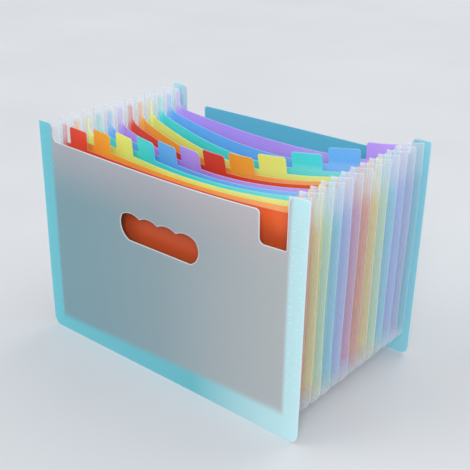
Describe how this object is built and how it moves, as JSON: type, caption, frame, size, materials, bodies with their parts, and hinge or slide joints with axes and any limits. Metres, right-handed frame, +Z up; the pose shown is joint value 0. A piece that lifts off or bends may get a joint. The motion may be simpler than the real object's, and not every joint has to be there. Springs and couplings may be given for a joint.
{
  "type": "accordion file folder",
  "caption": "Free-standing accordion file: stiff covers with ears, notch and hand hole, bowed coloured index dividers between them and clear folded gussets round every pocket.",
  "frame": {"origin": "middle of the footprint, on the surface that the covers' lower edges stand on", "axes": "+X to the right across the front cover, +Y from the front cover to the back cover, +Z up"},
  "size_m": [0.33, 0.1986, 0.234],
  "materials": {
    "cover_aqua": "frosted translucent polypropylene sheet, fine grained",
    "gusset_clear": "clear frosted polypropylene film, folded",
    "divider_red": "tinted translucent polypropylene sheet",
    "divider_orange": "tinted translucent polypropylene sheet",
    "divider_yellow": "tinted translucent polypropylene sheet",
    "divider_green": "tinted translucent polypropylene sheet",
    "divider_blue": "tinted translucent polypropylene sheet",
    "divider_purple": "tinted translucent polypropylene sheet"
  },
  "bodies": {
    "front_cover": {"front_cover": "cover_aqua"},
    "divider_01": {"divider_01": "divider_red", "gusset_01": "gusset_clear"},
    "divider_02": {"divider_02": "divider_orange", "gusset_02": "gusset_clear"},
    "divider_03": {"divider_03": "divider_yellow", "gusset_03": "gusset_clear"},
    "divider_04": {"divider_04": "divider_green", "gusset_04": "gusset_clear"},
    "divider_05": {"divider_05": "divider_blue", "gusset_05": "gusset_clear"},
    "divider_06": {"divider_06": "divider_purple", "gusset_06": "gusset_clear"},
    "divider_07": {"divider_07": "divider_red", "gusset_07": "gusset_clear"},
    "divider_08": {"divider_08": "divider_orange", "gusset_08": "gusset_clear"},
    "divider_09": {"divider_09": "divider_yellow", "gusset_09": "gusset_clear"},
    "divider_10": {"divider_10": "divider_green", "gusset_10": "gusset_clear"},
    "divider_11": {"divider_11": "divider_blue", "gusset_11": "gusset_clear"},
    "divider_12": {"divider_12": "divider_purple", "gusset_12": "gusset_clear"},
    "back_cover": {"back_cover": "cover_aqua", "gusset_13": "gusset_clear"}
  },
  "joints": [
    {"name": "pocket_01", "type": "slide", "parent": "front_cover", "child": "divider_01", "axis": [0, 1, 0], "range_m": [-0.00349, 0.00175], "deforming": ["gusset_01"]},
    {"name": "pocket_02", "type": "slide", "parent": "divider_01", "child": "divider_02", "axis": [0, 1, 0], "range_m": [-0.00704, 0.00352], "deforming": ["gusset_02"]},
    {"name": "pocket_03", "type": "slide", "parent": "divider_02", "child": "divider_03", "axis": [0, 1, 0], "range_m": [-0.00789, 0.00394], "deforming": ["gusset_03"]},
    {"name": "pocket_04", "type": "slide", "parent": "divider_03", "child": "divider_04", "axis": [0, 1, 0], "range_m": [-0.00841, 0.00421], "deforming": ["gusset_04"]},
    {"name": "pocket_05", "type": "slide", "parent": "divider_04", "child": "divider_05", "axis": [0, 1, 0], "range_m": [-0.00887, 0.00443], "deforming": ["gusset_05"]},
    {"name": "pocket_06", "type": "slide", "parent": "divider_05", "child": "divider_06", "axis": [0, 1, 0], "range_m": [-0.00943, 0.00471], "deforming": ["gusset_06"]},
    {"name": "pocket_07", "type": "slide", "parent": "divider_06", "child": "divider_07", "axis": [0, 1, 0], "range_m": [-0.01, 0.005], "deforming": ["gusset_07"]},
    {"name": "pocket_08", "type": "slide", "parent": "divider_07", "child": "divider_08", "axis": [0, 1, 0], "range_m": [-0.01, 0.005], "deforming": ["gusset_08"]},
    {"name": "pocket_09", "type": "slide", "parent": "divider_08", "child": "divider_09", "axis": [0, 1, 0], "range_m": [-0.01, 0.005], "deforming": ["gusset_09"]},
    {"name": "pocket_10", "type": "slide", "parent": "divider_09", "child": "divider_10", "axis": [0, 1, 0], "range_m": [-0.01, 0.005], "deforming": ["gusset_10"]},
    {"name": "pocket_11", "type": "slide", "parent": "divider_10", "child": "divider_11", "axis": [0, 1, 0], "range_m": [-0.01, 0.005], "deforming": ["gusset_11"]},
    {"name": "pocket_12", "type": "slide", "parent": "divider_11", "child": "divider_12", "axis": [0, 1, 0], "range_m": [-0.01, 0.005], "deforming": ["gusset_12"]},
    {"name": "pocket_13", "type": "slide", "parent": "divider_12", "child": "back_cover", "axis": [0, 1, 0], "range_m": [-0.01, 0.005], "deforming": ["gusset_13"]}
  ],
  "couplings": [
    {"joint": "pocket_01", "follows": "pocket_13", "ratio": 0.349},
    {"joint": "pocket_02", "follows": "pocket_13", "ratio": 0.704},
    {"joint": "pocket_03", "follows": "pocket_13", "ratio": 0.789},
    {"joint": "pocket_04", "follows": "pocket_13", "ratio": 0.841},
    {"joint": "pocket_05", "follows": "pocket_13", "ratio": 0.887},
    {"joint": "pocket_06", "follows": "pocket_13", "ratio": 0.943},
    {"joint": "pocket_07", "follows": "pocket_13", "ratio": 1},
    {"joint": "pocket_08", "follows": "pocket_13", "ratio": 1},
    {"joint": "pocket_09", "follows": "pocket_13", "ratio": 1},
    {"joint": "pocket_10", "follows": "pocket_13", "ratio": 1},
    {"joint": "pocket_11", "follows": "pocket_13", "ratio": 1},
    {"joint": "pocket_12", "follows": "pocket_13", "ratio": 1}
  ]
}
